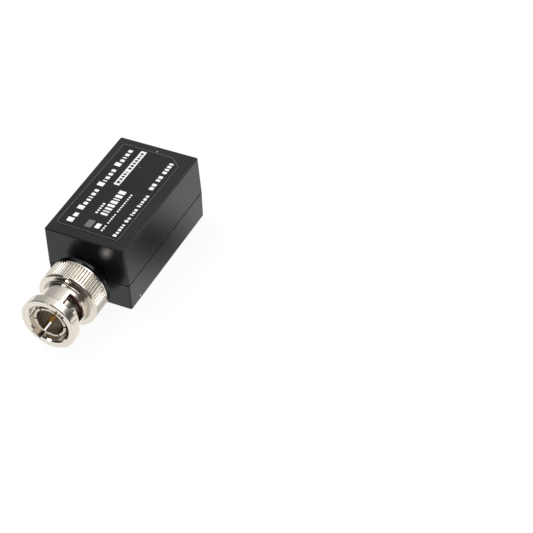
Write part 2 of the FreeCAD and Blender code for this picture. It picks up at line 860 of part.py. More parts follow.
def amplifier_chip():
    """The line driver in its eight-lead package."""
    thin = chip_lead_thickness
    low = board_top + thin / 2
    shoulder = low + chip_height / 2
    centre = on_run(chip_place_share)
    pieces = [block_at(0, centre, chip_width, chip_length, low, low + chip_height)]
    for index in range(chip_lead_count):
        y = centre + (index - (chip_lead_count - 1) / 2) * chip_length * chip_lead_share
        for side in (-1, 1):
            knee = chip_width / 2 + chip_lead_reach / 2
            reach = chip_lead_reach / 2 + chip_lead_width
            pieces.append(block_at(side * (knee - reach / 2), y, reach, chip_lead_width,
                                   shoulder - thin, shoulder))
            pieces.append(block_at(side * (knee - thin / 2), y, thin, chip_lead_width, board_top, shoulder))
            run = chip_lead_reach / 2 + thin
            pieces.append(block_at(side * (knee - thin + run / 2), y, run, chip_lead_width,
                                   board_top, board_top + thin))
    return all_fused(pieces)


def common_mode_choke():
    """The wound choke in its square case, with four contact feet."""
    gap_top = board_top + choke_height / 6
    y = on_run(choke_place_share)
    case = block_at(0, y, choke_length, choke_width, board_top, board_top + choke_height)
    case = case.cut(block_at(0, y, choke_length / 2, choke_width, board_top, gap_top))
    return case.cut(block_at(0, y, choke_length, choke_width / 3, board_top, gap_top))


def filter_capacitors():
    """Two can capacitors on square bases."""
    cans = []
    y = on_run(can_place_share)
    for x in (-can_x, can_x):
        base = block_at(x, y, can_base, can_base, board_top, board_top + can_base_height)
        can = upright(can_radius, x, y, board_top, board_top + can_height)
        cans.append(all_fused([base, can]))
    return Part.makeCompound(cans)


def surge_suppressors():
    """A row of suppressor diodes with folded end leads."""
    diodes = []
    lead = suppressor_height / 6
    centre = on_run(suppressor_place_share)
    for index in range(suppressor_count):
        x = (index - (suppressor_count - 1) / 2) * (suppressor_width + suppressor_gap)
        pieces = [block_at(x, centre, suppressor_width, suppressor_length - 2 * lead,
                           board_top + lead, board_top + suppressor_height)]
        for side in (-1, 1):
            y = centre + side * (suppressor_length - 3 * lead) / 2
            pieces.append(block_at(x, y, suppressor_width / 2, 3 * lead,
                                   board_top, board_top + suppressor_height / 2))
        diodes.append(all_fused(pieces))
    return Part.makeCompound(diodes)


def voltage_regulator():
    """The regulator under the board, with three leads and a wide tab."""
    thin = regulator_height / 4
    reach = regulator_lead_length + thin
    centre = on_run(regulator_place_share)
    front = centre - (regulator_width + regulator_lead_length - thin) / 2
    back = centre + (regulator_width + regulator_lead_length - thin) / 2
    pieces = [block_at(0, centre, regulator_length, regulator_width,
                       board_bottom - regulator_height, board_bottom)]
    for index in (-1, 0, 1):
        pieces.append(block_at(index * regulator_lead_pitch, front, regulator_lead_width, reach,
                               board_bottom - thin, board_bottom))
    pieces.append(block_at(0, back, regulator_length / 2, reach, board_bottom - thin, board_bottom))
    return all_fused(pieces)


def chip_row(height, row_y):
    """A row of small chip parts under the board, each with raised end caps."""
    parts = []
    thin = chip_part_cap / 6
    low = board_bottom - height
    for index in range(chip_parts_in_row):
        x = (index - (chip_parts_in_row - 1) / 2) * board_half_width * chip_part_spread_share
        pieces = [block_at(x, row_y, chip_part_width - 2 * thin, chip_part_length, low + thin, board_bottom)]
        for side in (-1, 1):
            y = row_y + side * (chip_part_length - chip_part_cap) / 2
            pieces.append(block_at(x, y, chip_part_width, chip_part_cap, low, board_bottom))
        parts.append(all_fused(pieces))
    return Part.makeCompound(parts)


def model():
    """Every node by name."""
    nodes = {
        "upper_cover": upper_cover(),
        "lower_base": lower_base(),
        "label_plate": label_plate(),
        "base_screws": base_screws(),
        "insulating_bushing": insulating_bushing(),
        "plug_nut": plug_nut(),
        "plug_body": plug_body(),
        "outer_contact": outer_contact(),
        "insulator": insulator(),
        "centre_pin": centre_pin(),
        "gasket": gasket(),
        "wave_spring": wave_spring(),
        "slip_washer": slip_washer(),
        "retaining_ring": retaining_ring(),
        "coupling_sleeve": coupling_sleeve(),
        "circuit_board": circuit_board(),
        "terminal_block": terminal_block(),
        "amplifier_chip": amplifier_chip(),
        "common_mode_choke": common_mode_choke(),
        "filter_capacitors": filter_capacitors(),
        "surge_suppressors": surge_suppressors(),
        "voltage_regulator": voltage_regulator(),
        "chip_resistors": chip_row(resistor_height, on_run(resistor_place_share)),
        "chip_capacitors": chip_row(capacitor_height, on_run(capacitor_place_share)),
    }
    for number, x in enumerate(way_places, 1):
        nodes[f"terminal_button_{number}"] = terminal_button(x)
        nodes[f"clamp_spring_{number}"] = clamp_spring(x)
        nodes[f"terminal_pin_{number}"] = terminal_pin(x)
    return nodes


os.makedirs("parts", exist_ok=True)
for name, shape in model().items():
    shape.exportStep(f"parts/{name}.step")
    print(name, shape.isValid(), len(shape.Solids), round(shape.Volume, 2))
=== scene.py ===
"""Looks of a cctv video balun.

A black two-part housing with a plated bayonet plug on its front and a push-in terminal block in
its back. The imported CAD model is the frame. This script gives each of its nodes a finish, lays the
print on the label, and sets up a plain studio. Lengths are in metres, except where noted.
"""
import logging
import math
from dataclasses import dataclass
from enum import Enum

import bmesh
import bpy
from mathutils import Matrix, Vector


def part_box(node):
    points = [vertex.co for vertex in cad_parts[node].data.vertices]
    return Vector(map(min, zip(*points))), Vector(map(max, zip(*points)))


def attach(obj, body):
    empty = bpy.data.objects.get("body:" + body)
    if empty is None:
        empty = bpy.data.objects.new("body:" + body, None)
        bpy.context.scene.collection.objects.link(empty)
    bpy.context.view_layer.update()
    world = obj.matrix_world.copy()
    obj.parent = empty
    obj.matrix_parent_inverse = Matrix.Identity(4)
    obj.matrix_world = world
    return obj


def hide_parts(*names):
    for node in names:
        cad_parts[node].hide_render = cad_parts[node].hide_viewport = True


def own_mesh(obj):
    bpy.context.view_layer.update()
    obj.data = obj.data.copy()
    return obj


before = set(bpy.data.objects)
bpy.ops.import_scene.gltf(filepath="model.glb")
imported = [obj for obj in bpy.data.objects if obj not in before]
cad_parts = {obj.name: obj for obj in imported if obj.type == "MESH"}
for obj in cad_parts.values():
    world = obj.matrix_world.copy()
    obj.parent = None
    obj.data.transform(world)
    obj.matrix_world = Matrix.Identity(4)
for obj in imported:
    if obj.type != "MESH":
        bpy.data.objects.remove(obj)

log = logging.getLogger("video_balun")

Colour = tuple[float, float, float]
Point = tuple[float, float, float]
Span = tuple[float, float]
Bar = tuple[float, float, float, float]
Node = bpy.types.Node
NodeTree = bpy.types.NodeTree
Sockets = bpy.types.NodeOutputs
Socket = bpy.types.NodeSocket
Value = float | tuple[float, ...] | Socket
Material = bpy.types.Material
Shape = bmesh.types.BMesh

MM = 0.001
ORIGIN = (0.0, 0.0, 0.0)
EVEN = (1.0, 1.0, 1.0)
WHITE = (1.0, 1.0, 1.0)
AXIS_HEIGHT = 7.5 * MM  # of the plug's axis above the underside
NOISE_SPREAD = (0.3, 0.7)  # where most values of a noise lie


class Body(Enum):
    """Bodies of the frame that added pieces ride on."""

    HOUSING = "housing"


class Effect(Enum):
    """Shader node groups that several finishes share."""

    EDGE_WEAR_AND_HIGHLIGHT = "edge wear and highlight"
    FINE_GRAIN = "fine grain"
    DUST = "dust"
    MARK = "single mark"
    HAIRLINES = "hairlines"
    TURNED_LINES = "turned lines"
    RECESS = "recess shade"
    CORNER = "corner shade"


class Ink(Enum):
    """Inks of the label's print."""

    WHITE = "white"
    GREY = "grey"
    BLACK = "black"


def shade(colour: Colour, factor: float, lift: float = 0.0) -> Colour:
    """Scale a colour, lift it, and keep it within white."""
    return tuple(min(1.0, factor * channel + lift) for channel in colour)


# Node trees

class Graph:
    """A node tree under construction, with short ways to add and join nodes.

    Attributes:
        NUMBER_RESULTS: vector operations whose result is a number.
    """

    NUMBER_RESULTS = ("DISTANCE", "DOT_PRODUCT", "LENGTH")

    def __init__(self, tree: NodeTree) -> None:
        """Start on an empty tree.

        Args:
            tree: the tree that receives the nodes.
        """
        self.tree = tree
        tree.nodes.clear()

    def add(self, kind: str, **settings: object) -> Node:
        """Add a node.

        Args:
            kind: Blender's name of the node type.
            settings: attributes of the node to set.

        Returns:
            The new node.
        """
        node = self.tree.nodes.new(kind)
        for name, value in settings.items():
            setattr(node, name, value)
        return node

    def feed(self, node: Node, **inputs: Value) -> Node:
        """Give a node's inputs their values or links.

        Args:
            node: the node to feed.
            inputs: socket names in lower case with underscores, or numbers as n0, n1, each with a
                value or an output socket.

        Returns:
            The same node.
        """
        for name, value in inputs.items():
            socket = self.input_named(node, name)
            if isinstance(value, Socket):
                self.tree.links.new(value, socket)
            else:
                socket.default_value = (*value, 1.0) if socket.type == "RGBA" else value
        return node

    @staticmethod
    def input_named(node: Node, name: str) -> Socket:
        """Find an input in use.

        Args:
            node: the node that has it.
            name: its name in lower case with underscores, or its number as n0, n1.

        Returns:
            The input's socket.
        """
        if name[0] == "n" and name[1:].isdigit():
            return node.inputs[int(name[1:])]
        for socket in node.inputs:
            if socket.name.lower().replace(" ", "_") == name and socket.enabled:
                return socket
        raise KeyError(f"{node.bl_idname} has no input {name}")

    def math(self, operation: str, first: Value, second: Value = 0.0,
             clamp: bool = False) -> Socket:
        """Add a Math node.

        Args:
            operation: Blender's name of the operation.
            first: value or socket.
            second: value or socket.
            clamp: whether the result stays between 0 and 1.

        Returns:
            The result socket.
        """
        node = self.add("ShaderNodeMath", operation=operation, use_clamp=clamp)
        return self.feed(node, n0=first, n1=second).outputs[0]

    def vector(self, operation: str, first: Value, second: Value = ORIGIN) -> Socket:
        """Add a Vector Math node.

        Args:
            operation: Blender's name of the operation.
            first: vector or socket.
            second: vector or socket.

        Returns:
            The result socket, a number where the operation gives one.
        """
        node = self.add("ShaderNodeVectorMath", operation=operation)
        self.feed(node, n0=first, n1=second)
        return node.outputs["Value" if operation in self.NUMBER_RESULTS else "Vector"]

    def range(self, value: Value, low: Value, high: Value,
              start: float = 0.0, end: float = 1.0) -> Socket:
        """Map a value smoothly from one range to another, clamped.

        Args:
            value: value or socket.
            low: where the mapping starts.
            high: where it ends.
            start: result at low.
            end: result at high.

        Returns:
            The result socket.
        """
        node = self.add("ShaderNodeMapRange", interpolation_type="SMOOTHSTEP")
        self.feed(node, value=value, from_min=low, from_max=high, to_min=start, to_max=end)
        return node.outputs["Result"]

    def mix(self, factor: Value, first: Value, second: Value) -> Socket:
        """Mix two colours.

        Args:
            factor: share of the second colour.
            first: colour or socket.
            second: colour or socket.

        Returns:
            The mixed colour's socket.
        """
        node = self.add("ShaderNodeMix", data_type="RGBA")
        return self.feed(node, n0=factor, n6=first, n7=second).outputs[2]

    def noise(self, vector: Socket, scale: Value, detail: float = 3.0,
              roughness: float = 0.5) -> Socket:
        """Add a noise texture.

        Args:
            vector: coordinates.
            scale: cycles in a metre.
            detail: octaves.
            roughness: weight of the finer octaves.

        Returns:
            The noise value's socket.
        """
        node = self.add("ShaderNodeTexNoise")
        self.feed(node, vector=vector, scale=scale, detail=detail, roughness=roughness)
        return node.outputs[0]

    def place(self) -> Socket:
        """Give the place on the object."""
        return self.add("ShaderNodeTexCoord").outputs["Object"]

    def split(self, vector: Socket) -> Sockets:
        """Give a vector's X, Y and Z."""
        return self.feed(self.add("ShaderNodeSeparateXYZ"), n0=vector).outputs


class SharedEffects:
    """Builds each shared node group once and hands it out.

    Attributes:
        EDGE_BEND: turn of the rounded normal where the edge's wear and painted highlight start, and
            where they are full.
        BREAKUP: noise between bare patches of an edge and patches with wear and painted highlight.
        RIM: share of a mark's radius that is sure, and that noise adds.
        RIM_NOISE: cycles in a metre of that noise.
        HAIRLINE: how far the noise strays from its middle within a scratch.
        SCRATCHED: noise between clear and scratched patches.
        PATCH_NOISE: cycles in a metre of those patches.
        CLOSED: share of open sky where a recess takes full painted shade, and where it takes none.
    """

    EDGE_BEND = (0.015, 0.2)
    BREAKUP = (0.38, 0.62)
    RIM = (0.6, 0.8)
    RIM_NOISE = 9000.0
    HAIRLINE = 0.012
    SCRATCHED = (0.52, 0.66)
    PATCH_NOISE = 260.0
    CLOSED = (0.42, 0.76)

    def __init__(self) -> None:
        """Start with no groups built."""
        self.built: dict[Effect, NodeTree] = {}

    def group(self, effect: Effect) -> NodeTree:
        """Return the node group of an effect, building it on first use.

        Args:
            effect: the effect that is asked for.

        Returns:
            The shared node group.
        """
        if effect not in self.built:
            makers = {
                Effect.EDGE_WEAR_AND_HIGHLIGHT: self.edge_wear_and_highlight,
                Effect.FINE_GRAIN: self.fine_grain,
                Effect.DUST: self.dust,
                Effect.MARK: self.mark,
                Effect.HAIRLINES: self.hairlines,
                Effect.TURNED_LINES: self.turned_lines,
                Effect.RECESS: self.recess,
                Effect.CORNER: self.corner,
            }
            self.built[effect] = makers[effect]()
        return self.built[effect]

    @staticmethod
    def start(effect: Effect, inputs: dict[str, float | Point],
              outputs: tuple[str, ...] = ("Mask",)) -> tuple[Graph, Sockets, Node]:
        """Start a group with named sockets.

        Args:
            effect: the effect that names the group.
            inputs: names with default numbers or vectors.
            outputs: names of value outputs.

        Returns:
            The group's graph, the sockets that its inputs arrive at, and the output node.
        """
        tree = bpy.data.node_groups.new(effect.value, "ShaderNodeTree")
        graph = Graph(tree)
        for name, default in inputs.items():
            kind = "NodeSocketVector" if isinstance(default, tuple) else "NodeSocketFloat"
            socket = tree.interface.new_socket(name=name, in_out="INPUT", socket_type=kind)
            socket.default_value = default
        for name in outputs:
            tree.interface.new_socket(name=name, in_out="OUTPUT", socket_type="NodeSocketFloat")
        return graph, graph.add("NodeGroupInput").outputs, graph.add("NodeGroupOutput")

    def edge_wear_and_highlight(self) -> NodeTree:
        """Mask of outer edges, broken up by noise: wear, and on the mouldings a painted highlight as
        well.

        Returns:
            The node group.
        """
        graph, given, sink = self.start(
            Effect.EDGE_WEAR_AND_HIGHLIGHT, {"Reach": 0.3 * MM, "Amount": 1.0, "Breakup": 900.0, "Evenness": 0.0})
        rounded = graph.feed(graph.add("ShaderNodeBevel", samples=4), radius=given["Reach"])
        normal = graph.add("ShaderNodeNewGeometry").outputs["Normal"]
        straight = graph.vector("DOT_PRODUCT", rounded.outputs[0], normal)
        bend = graph.range(graph.math("SUBTRACT", 1.0, straight), *self.EDGE_BEND)
        patches = graph.range(graph.noise(graph.place(), given["Breakup"], 4.0, 0.6), *self.BREAKUP)
        worn_and_lit = graph.math("MULTIPLY", bend, graph.math("MAXIMUM", patches, given["Evenness"]))
        graph.feed(sink, mask=graph.math("MULTIPLY", worn_and_lit, given["Amount"], clamp=True))
        return graph.tree

    def fine_grain(self) -> NodeTree:
        """Moulded texture: a fine height and a slow variation.

        Returns:
            The node group.
        """
        graph, given, sink = self.start(
            Effect.FINE_GRAIN, {"Grain": 9000.0, "Drift": 120.0}, ("Height", "Variation"))
        place = graph.place()
        graph.feed(sink, height=graph.noise(place, given["Grain"], 2.0, 0.55),
                   variation=graph.noise(place, given["Drift"], 4.0, 0.6))
        return graph.tree

    def dust(self) -> NodeTree:
        """Mask of sparse specks of dust, each in a chosen cell of a cell texture.

        Returns:
            The node group.
        """
        graph, given, sink = self.start(Effect.DUST, {"Cells": 500.0, "Size": 0.06, "Share": 0.12})
        cells = graph.add("ShaderNodeTexVoronoi")
        graph.feed(cells, vector=graph.place(), scale=given["Cells"])
        near = graph.math("LESS_THAN", cells.outputs["Distance"], given["Size"])
        tones = graph.feed(graph.add("ShaderNodeSeparateColor"), color=cells.outputs["Color"])
        chosen = graph.math("LESS_THAN", tones.outputs[0], given["Share"])
        graph.feed(sink, mask=graph.math("MULTIPLY", near, chosen))
        return graph.tree

    def mark(self) -> NodeTree:
        """Mask of one small mark at a place, with a ragged rim.

        Returns:
            The node group.
        """
        graph, given, sink = self.start(
            Effect.MARK, {"Place": ORIGIN, "Radius": 0.2 * MM, "Stretch": EVEN})
        place = graph.place()
        offset = graph.vector("SUBTRACT", place, given["Place"])
        distance = graph.vector("LENGTH", graph.vector("MULTIPLY", offset, given["Stretch"]))
        sure, added = self.RIM
        ragged = graph.math("MULTIPLY", graph.noise(place, self.RIM_NOISE), added)
        reach = graph.math("MULTIPLY", given["Radius"], graph.math("ADD", ragged, sure))
        graph.feed(sink, mask=graph.math("LESS_THAN", distance, reach))
        return graph.tree

    def hairlines(self) -> NodeTree:
        """Mask of faint straight scratches that run one way.

        Returns:
            The node group.
        """
        graph, given, sink = self.start(
            Effect.HAIRLINES, {"Stretch": EVEN, "Turn": ORIGIN, "Scale": 900.0, "Share": 0.3})
        place = graph.place()
        turned = graph.add("ShaderNodeMapping")
        graph.feed(turned, vector=place, rotation=given["Turn"], scale=given["Stretch"])
        lines = graph.noise(turned.outputs[0], given["Scale"], 1.0)
        stray = graph.math("ABSOLUTE", graph.math("SUBTRACT", lines, 0.5))
        ridge = graph.range(stray, 0.0, self.HAIRLINE, 1.0, 0.0)
        patches = graph.range(graph.noise(place, self.PATCH_NOISE), *self.SCRATCHED)
        faint = graph.math("MULTIPLY", ridge, patches)
        graph.feed(sink, mask=graph.math("MULTIPLY", faint, given["Share"], clamp=True))
        return graph.tree

    @staticmethod
    def across(graph: Graph) -> Socket:
        """Give the distance from the plug's axis as X and the place along it as Y.

        Args:
            graph: the group's graph.

        Returns:
            The vector's socket.
        """
        spot = graph.split(graph.place())
        rise = graph.math("SUBTRACT", spot["Z"], AXIS_HEIGHT)
        square = graph.math("ADD", graph.math("MULTIPLY", spot["X"], spot["X"]),
                            graph.math("MULTIPLY", rise, rise))
        joined = graph.add("ShaderNodeCombineXYZ")
        return graph.feed(joined, x=graph.math("SQRT", square), y=spot["Y"]).outputs[0]

    def turned_lines(self) -> NodeTree:
        """Height and tone of the fine rings that a lathe leaves about the plug's axis.

        Returns:
            The node group.
        """
        graph, given, sink = self.start(
            Effect.TURNED_LINES, {"Fineness": 14000.0, "Banding": 1800.0}, ("Height", "Tone"))
        across = self.across(graph)
        graph.feed(sink, height=graph.noise(across, given["Fineness"], 2.0, 0.7),
                   tone=graph.noise(across, given["Banding"], 2.0))
        return graph.tree

    def recess(self) -> NodeTree:
        """Mask of narrow recesses, which get painted shade and more roughness.

        Returns:
            The node group.
        """
        graph, given, sink = self.start(Effect.RECESS, {"Reach": 0.6 * MM, "Strength": 1.0})
        sky = graph.add("ShaderNodeAmbientOcclusion", samples=6)
        graph.feed(sky, distance=given["Reach"])
        closed = graph.range(sky.outputs["AO"], *self.CLOSED, 1.0, 0.0)
        graph.feed(sink, mask=graph.math("MULTIPLY", closed, given["Strength"], clamp=True))
        return graph.tree

    def corner(self) -> NodeTree:
        """Mask of a ring about the plug's axis, for painted shade in a turned corner.

        Returns:
            The node group.
        """
        graph, given, sink = self.start(
            Effect.CORNER,
            {"Corner": ORIGIN, "Full": 0.25 * MM, "Reach": 0.6 * MM, "Strength": 0.5})
        gap = graph.vector("DISTANCE", self.across(graph), given["Corner"])
        near = graph.range(gap, given["Full"], given["Reach"], 1.0, 0.0)
        graph.feed(sink, mask=graph.math("MULTIPLY", near, given["Strength"], clamp=True))
        return graph.tree


EFFECTS = SharedEffects()


class Dresser:
    """One material under construction, with its Principled shader and the shared effects."""

    def __init__(self, name: str) -> None:
        """Start a material.

        Args:
            name: the material's name.
        """
        self.material = bpy.data.materials.new(name)
        self.material.use_nodes = True
        self.graph = Graph(self.material.node_tree)
        self.shader = self.graph.add("ShaderNodeBsdfPrincipled")
        output = self.graph.add("ShaderNodeOutputMaterial")
        self.graph.feed(output, surface=self.shader.outputs[0])

    def effect(self, effect: Effect, **inputs: Value) -> Sockets:
        """Place a shared effect with its own values.

        Args:
            effect: which effect.
            inputs: the group's inputs.

        Returns:
            The group's outputs.
        """
        node = self.graph.add("ShaderNodeGroup", node_tree=EFFECTS.group(effect))
        return self.graph.feed(node, **inputs).outputs

    def bump(self, height: Socket, depth: float, under: Socket | None = None) -> Socket:
        """Add a bump.

        Args:
            height: height between 0 and 1.
            depth: real height.
            under: a normal to build on.

        Returns:
            The new normal's socket.
        """
        node = self.graph.add("ShaderNodeBump")
        self.graph.feed(node, height=height, distance=depth, strength=1.0)
        if under is not None:
            self.graph.feed(node, normal=under)
        return node.outputs[0]

    def uneven(self, drift: Socket, roughness: float, swing: Span,
               spread: Span = NOISE_SPREAD) -> Socket:
        """Let the roughness drift over the surface.

        Args:
            drift: a slow noise.
            roughness: the middle.
            swing: how far it falls and rises.
            spread: noise at which it is lowest and highest.

        Returns:
            The roughness's socket.
        """
        down, up = swing
        return self.graph.range(drift, *spread, roughness - down, roughness + up)

    def finish(self, base: Socket, rough: Socket, normal: Socket, **plain: Value) -> Material:
        """Feed the shader.

        Args:
            base: the base colour.
            rough: the roughness.
            normal: the normal.
            plain: values that are the same all over, for the shader's own sockets.

        Returns:
            The material.
        """
        self.graph.feed(self.shader, base_color=base, roughness=rough, normal=normal, **plain)
        return self.material


@dataclass(frozen=True)
class SurfaceMark:
    """A small chip or fleck that the real surface has."""

    place: Point
    radius: float
    colour: Colour
    stretch: Point = EVEN


@dataclass(frozen=True)
class MouldedPlastic:
    """Fine-textured moulded plastic with dust, scratches and lighter edges, which stand for wear and
    a painted highlight.
    """

    name: str
    colour: Colour
    roughness: float = 0.27
    roughness_swing: Span = (0.03, 0.03)
    roughness_spread: Span = (0.25, 0.75)
    ior: float = 1.5
    specular: float = 0.4
    tint: Colour = (0.97, 0.95, 1.0)
    tones: Span = (0.8, 1.2)
    grain: float = 9000.0
    grain_depth: float = 0.002 * MM
    wear: float = 0.8
    wear_reach: float = 0.35 * MM
    wear_and_highlight_colour: Colour = (0.05, 0.048, 0.054)
    wear_and_highlight_evenness: float = 0.4
    scratches: float = 0.08
    scratch_stretch: Point = (1.0, 0.06, 1.0)
    scratch_turn: Point = (0.3, 0.5, 0.9)
    scratch_roughness: float = 0.2
    dust_cells: float = 420.0
    dust_size: float = 0.035
    dust_share: float = 0.06
    dust_colour: Colour = (0.3, 0.3, 0.3)
    marks: tuple[SurfaceMark, ...] = ()

    def material(self) -> Material:
        """Build the material.

        Returns:
            The material.
        """
        dresser = Dresser(self.name)
        graph = dresser.graph
        grain = dresser.effect(Effect.FINE_GRAIN, grain=self.grain)
        wear = dresser.effect(Effect.EDGE_WEAR_AND_HIGHLIGHT, reach=self.wear_reach, amount=self.wear,
                              evenness=self.wear_and_highlight_evenness)
        dust = dresser.effect(Effect.DUST, cells=self.dust_cells, size=self.dust_size,
                              share=self.dust_share)
        lines = dresser.effect(Effect.HAIRLINES, stretch=self.scratch_stretch,
                               turn=self.scratch_turn, share=self.scratches)
        drift = grain["Variation"]
        dark, light = (shade(self.colour, tone) for tone in self.tones)
        base = graph.mix(graph.range(drift, *NOISE_SPREAD), dark, light)
        # painted highlight with real wear: outer edges lighten towards the edge colour; scratches
        # take the same colour
        base = graph.mix(wear[0], base, self.wear_and_highlight_colour)
        base = graph.mix(lines[0], base, self.wear_and_highlight_colour)
        base = graph.mix(dust[0], base, self.dust_colour)
        for mark in self.marks:
            spot = dresser.effect(Effect.MARK, place=mark.place, radius=mark.radius,
                                  stretch=mark.stretch)
            base = graph.mix(spot[0], base, mark.colour)
        rough = dresser.uneven(drift, self.roughness, self.roughness_swing, self.roughness_spread)
        scratched = graph.math("MULTIPLY", lines[0], self.scratch_roughness)
        return dresser.finish(
            base, graph.math("ADD", rough, scratched, clamp=True),
            dresser.bump(grain["Height"], self.grain_depth),
            ior=self.ior, specular_ior_level=self.specular, specular_tint=self.tint)


@dataclass(frozen=True)
class PlatedMetal:
    """Turned metal with bright plating, fine lathe rings, and painted shade in recesses and in one
    corner.

    The shaded corner is given by its distance from the plug's axis and its place along it.
    """

    name: str
    colour: Colour
    roughness: float = 0.16
    roughness_swing: Span = (0.04, 0.05)
    band: float = 0.94
    band_spread: Span = (0.35, 0.65)
    ring_depth: float = 0.00025 * MM
    drift: float = 350.0
    wear: float = 0.6
    wear_reach: float = 0.12 * MM
    wear_tone: float = 1.12
    # colour of the painted shade in recesses and in the shaded corner
    painted_shade_colour: Colour = (0.04, 0.03, 0.022)
    dull_roughness: float = 0.2
    recess_reach: float = 0.3 * MM
    recess_strength: float = 1.0
    edge_rounding: float = 0.05 * MM
    shaded_corner: Span | None = None

    def material(self) -> Material:
        """Build the material.

        Returns:
            The material.
        """
        dresser = Dresser(self.name)
        graph = dresser.graph
        rings = dresser.effect(Effect.TURNED_LINES)
        recess = dresser.effect(Effect.RECESS, reach=self.recess_reach,
                                strength=self.recess_strength)
        wear = dresser.effect(Effect.EDGE_WEAR_AND_HIGHLIGHT, reach=self.wear_reach, amount=self.wear)
        grain = dresser.effect(Effect.FINE_GRAIN, drift=self.drift)
        band = graph.range(rings["Tone"], *self.band_spread)
        base = graph.mix(band, shade(self.colour, self.band), self.colour)
        # painted shade: recesses darken towards the shade colour
        base = graph.mix(recess[0], base, self.painted_shade_colour)
        base = graph.mix(wear[0], base, shade(self.colour, self.wear_tone))
        # painted shade in the corner at the foot of the sleeve's neck
        if self.shaded_corner:
            corner = dresser.effect(Effect.CORNER, corner=(*self.shaded_corner, 0.0))
            base = graph.mix(corner[0], base, self.painted_shade_colour)
        rough = dresser.uneven(grain["Variation"], self.roughness, self.roughness_swing)
        dulled = graph.math("MULTIPLY", recess[0], self.dull_roughness)
        rounded = graph.feed(graph.add("ShaderNodeBevel", samples=8), radius=self.edge_rounding)
        return dresser.finish(
            base, graph.math("ADD", rough, dulled, clamp=True),
            dresser.bump(rings["Height"], self.ring_depth, rounded.outputs[0]), metallic=1.0)


@dataclass(frozen=True)
class SheetMetal:
    """Rolled sheet or wire with fine lines along it."""

    name: str
    colour: Colour
    roughness: float = 0.28
    roughness_swing: Span = (0.05, 0.07)
    line_scale: float = 2200.0
    line_stretch: Point = (1.0, 0.05, 1.0)
    line_share: float = 0.5
    line_tone: float = 0.75
    wear: float = 0.5
    wear_reach: float = 0.1 * MM
    wear_tone: float = 1.15
    grain: float = 5000.0
    grain_depth: float = 0.002 * MM
    drift: float = 600.0

    def material(self) -> Material:
        """Build the material.

        Returns:
            The material.
        """
        dresser = Dresser(self.name)
        graph = dresser.graph
        lines = dresser.effect(Effect.HAIRLINES, stretch=self.line_stretch, scale=self.line_scale,
                               share=self.line_share)
        wear = dresser.effect(Effect.EDGE_WEAR_AND_HIGHLIGHT, reach=self.wear_reach, amount=self.wear)
        grain = dresser.effect(Effect.FINE_GRAIN, grain=self.grain, drift=self.drift)
        base = graph.mix(lines[0], self.colour, shade(self.colour, self.line_tone))
        base = graph.mix(wear[0], base, shade(self.colour, self.wear_tone))
        rough = dresser.uneven(grain["Variation"], self.roughness, self.roughness_swing)
        return dresser.finish(base, rough, dresser.bump(grain["Height"], self.grain_depth),
                              metallic=1.0)


@dataclass(frozen=True)
class SmoothSolid:
    """A smooth non-metal such as ink, ceramic, rubber or lacquer, with slight unevenness."""

    name: str
    colour: Colour
    roughness: float = 0.4
    roughness_swing: Span = (0.04, 0.05)
    unevenness: float = 0.08
    grain: float = 6000.0
    dent_depth: float = 0.003 * MM
    drift: float = 700.0
    dust_cells: float = 650.0
    dust_size: float = 0.04
    dust_share: float = 0.05
    dust_colour: Colour = (0.35, 0.35, 0.34)
    wear: float = 0.4
    wear_reach: float = 0.12 * MM
    wear_tone: float = 1.2
    wear_lift: float = 0.01

    def material(self) -> Material:
        """Build the material.

        Returns:
            The material.
        """
        dresser = Dresser(self.name)
        graph = dresser.graph
        grain = dresser.effect(Effect.FINE_GRAIN, grain=self.grain, drift=self.drift)
        dust = dresser.effect(Effect.DUST, cells=self.dust_cells, size=self.dust_size,
                              share=self.dust_share)
        wear = dresser.effect(Effect.EDGE_WEAR_AND_HIGHLIGHT, reach=self.wear_reach, amount=self.wear)
        drift = grain["Variation"]
        base = graph.mix(graph.range(drift, *NOISE_SPREAD),
                         shade(self.colour, 1.0 - self.unevenness), self.colour)
        base = graph.mix(wear[0], base, shade(self.colour, self.wear_tone, self.wear_lift))
        base = graph.mix(dust[0], base, self.dust_colour)
        rough = dresser.uneven(drift, self.roughness, self.roughness_swing)
        return dresser.finish(base, rough, dresser.bump(grain["Height"], self.dent_depth))


Finish = MouldedPlastic | PlatedMetal | SheetMetal | SmoothSolid


def dress(finish: Finish, *nodes: str) -> Material:
    """Give CAD nodes their finish.

    Args:
        finish: the finish.
        nodes: the nodes' names.

    Returns:
        The finish's material.
    """
    material = finish.material()
    for node in nodes:
        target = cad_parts[node]
        if not target.data.materials:
            target.data.materials.append(material)
        for slot in target.material_slots:
            slot.material = material
        log.info("dressed %s with %s", node, material.name)
    return material


def add_piece(name: str, shape: Shape, material: Material, body: Body) -> bpy.types.Object:
    """Turn a built mesh into a piece that rides on a body.

    Args:
        name: the piece's name.
        shape: the mesh, which is freed.
        material: its finish.
        body: the body that carries it.

    Returns:
        The new object.
    """
    bmesh.ops.recalc_face_normals(shape, faces=shape.faces)
    mesh = bpy.data.meshes.new(name)
    shape.to_mesh(mesh)
    shape.free()
    mesh.materials.append(material)
    piece = bpy.data.objects.new(name, mesh)
    bpy.context.scene.collection.objects.link(piece)
    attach(piece, body.value)
    log.info("added %s with %d faces", name, len(mesh.polygons))
    return piece


# Sub-assemblies

